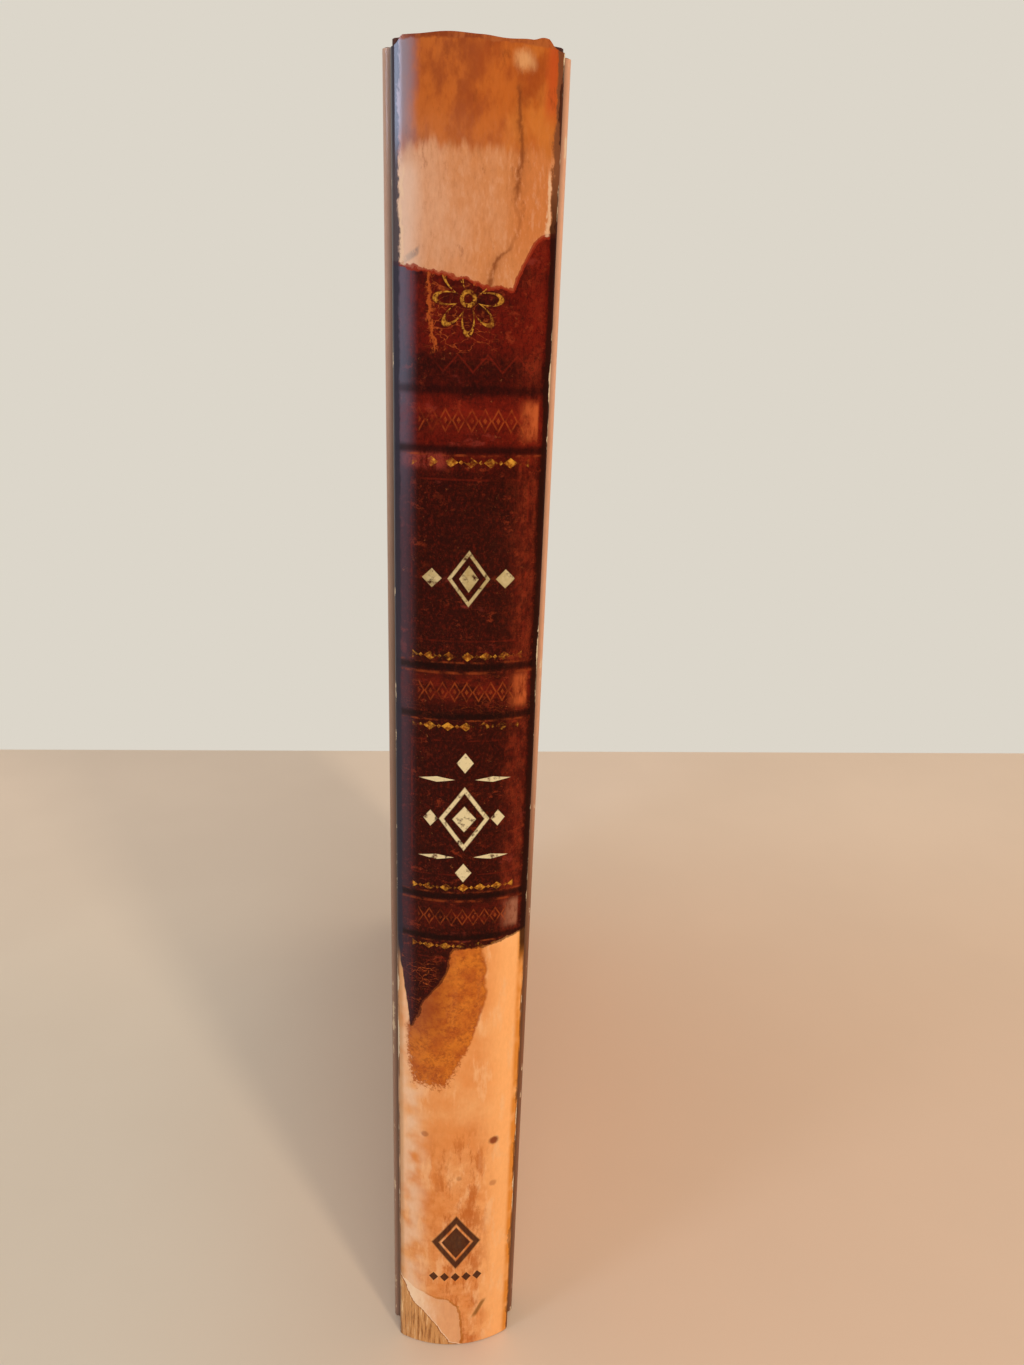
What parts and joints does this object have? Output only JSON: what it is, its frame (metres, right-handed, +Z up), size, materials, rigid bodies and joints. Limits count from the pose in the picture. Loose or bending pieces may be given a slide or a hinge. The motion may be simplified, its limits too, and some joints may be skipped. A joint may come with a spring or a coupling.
{
  "type": "hardcover book",
  "caption": "Upright hardcover book in a worn printed paper jacket, with a rounded spine, grooved joints, headbands and hinged covers over a solid page block.",
  "frame": {"origin": "bottom centre of the bounding box, on the surface that the book stands on", "axes": "+Z up from tail to head, -Y out of the spine, +X out of the front cover"},
  "size_m": [0.0252, 0.16, 0.235],
  "materials": {
    "pages": "uncoated cream book paper",
    "super_cloth": "open cotton mull",
    "liner_paper": "brown kraft paper",
    "band_thread": "woven silk thread",
    "endpaper": "smooth uncoated paper",
    "board": "dense grey binder's board",
    "case_paper": "embossed covering paper",
    "jacket_paper": "gloss laminated print, worn at its edges"
  },
  "bodies": {
    "block": {"text_block": "pages", "spine_super": "super_cloth", "spine_liner": "liner_paper", "headband": "band_thread", "tailband": "band_thread", "front_flyleaf": "endpaper", "back_flyleaf": "endpaper", "spine_inlay": "board", "case_spine": "case_paper", "jacket_spine": "jacket_paper"},
    "front_cover": {"front_board": "board", "front_case_cover": "case_paper", "front_super_wing": "super_cloth", "front_pastedown": "endpaper", "jacket_front": "jacket_paper"},
    "back_cover": {"back_board": "board", "back_case_cover": "case_paper", "back_super_wing": "super_cloth", "back_pastedown": "endpaper", "jacket_back": "jacket_paper"}
  },
  "joints": [
    {"name": "front_hinge", "type": "hinge", "parent": "block", "child": "front_cover", "pos_m": [0.01224, -0.07434, 0.1175], "axis": [0, 0, -1], "range_deg": [0, 178]},
    {"name": "back_hinge", "type": "hinge", "parent": "block", "child": "back_cover", "pos_m": [-0.01224, -0.07434, 0.1175], "axis": [0, 0, 1], "range_deg": [0, 178]}
  ]
}
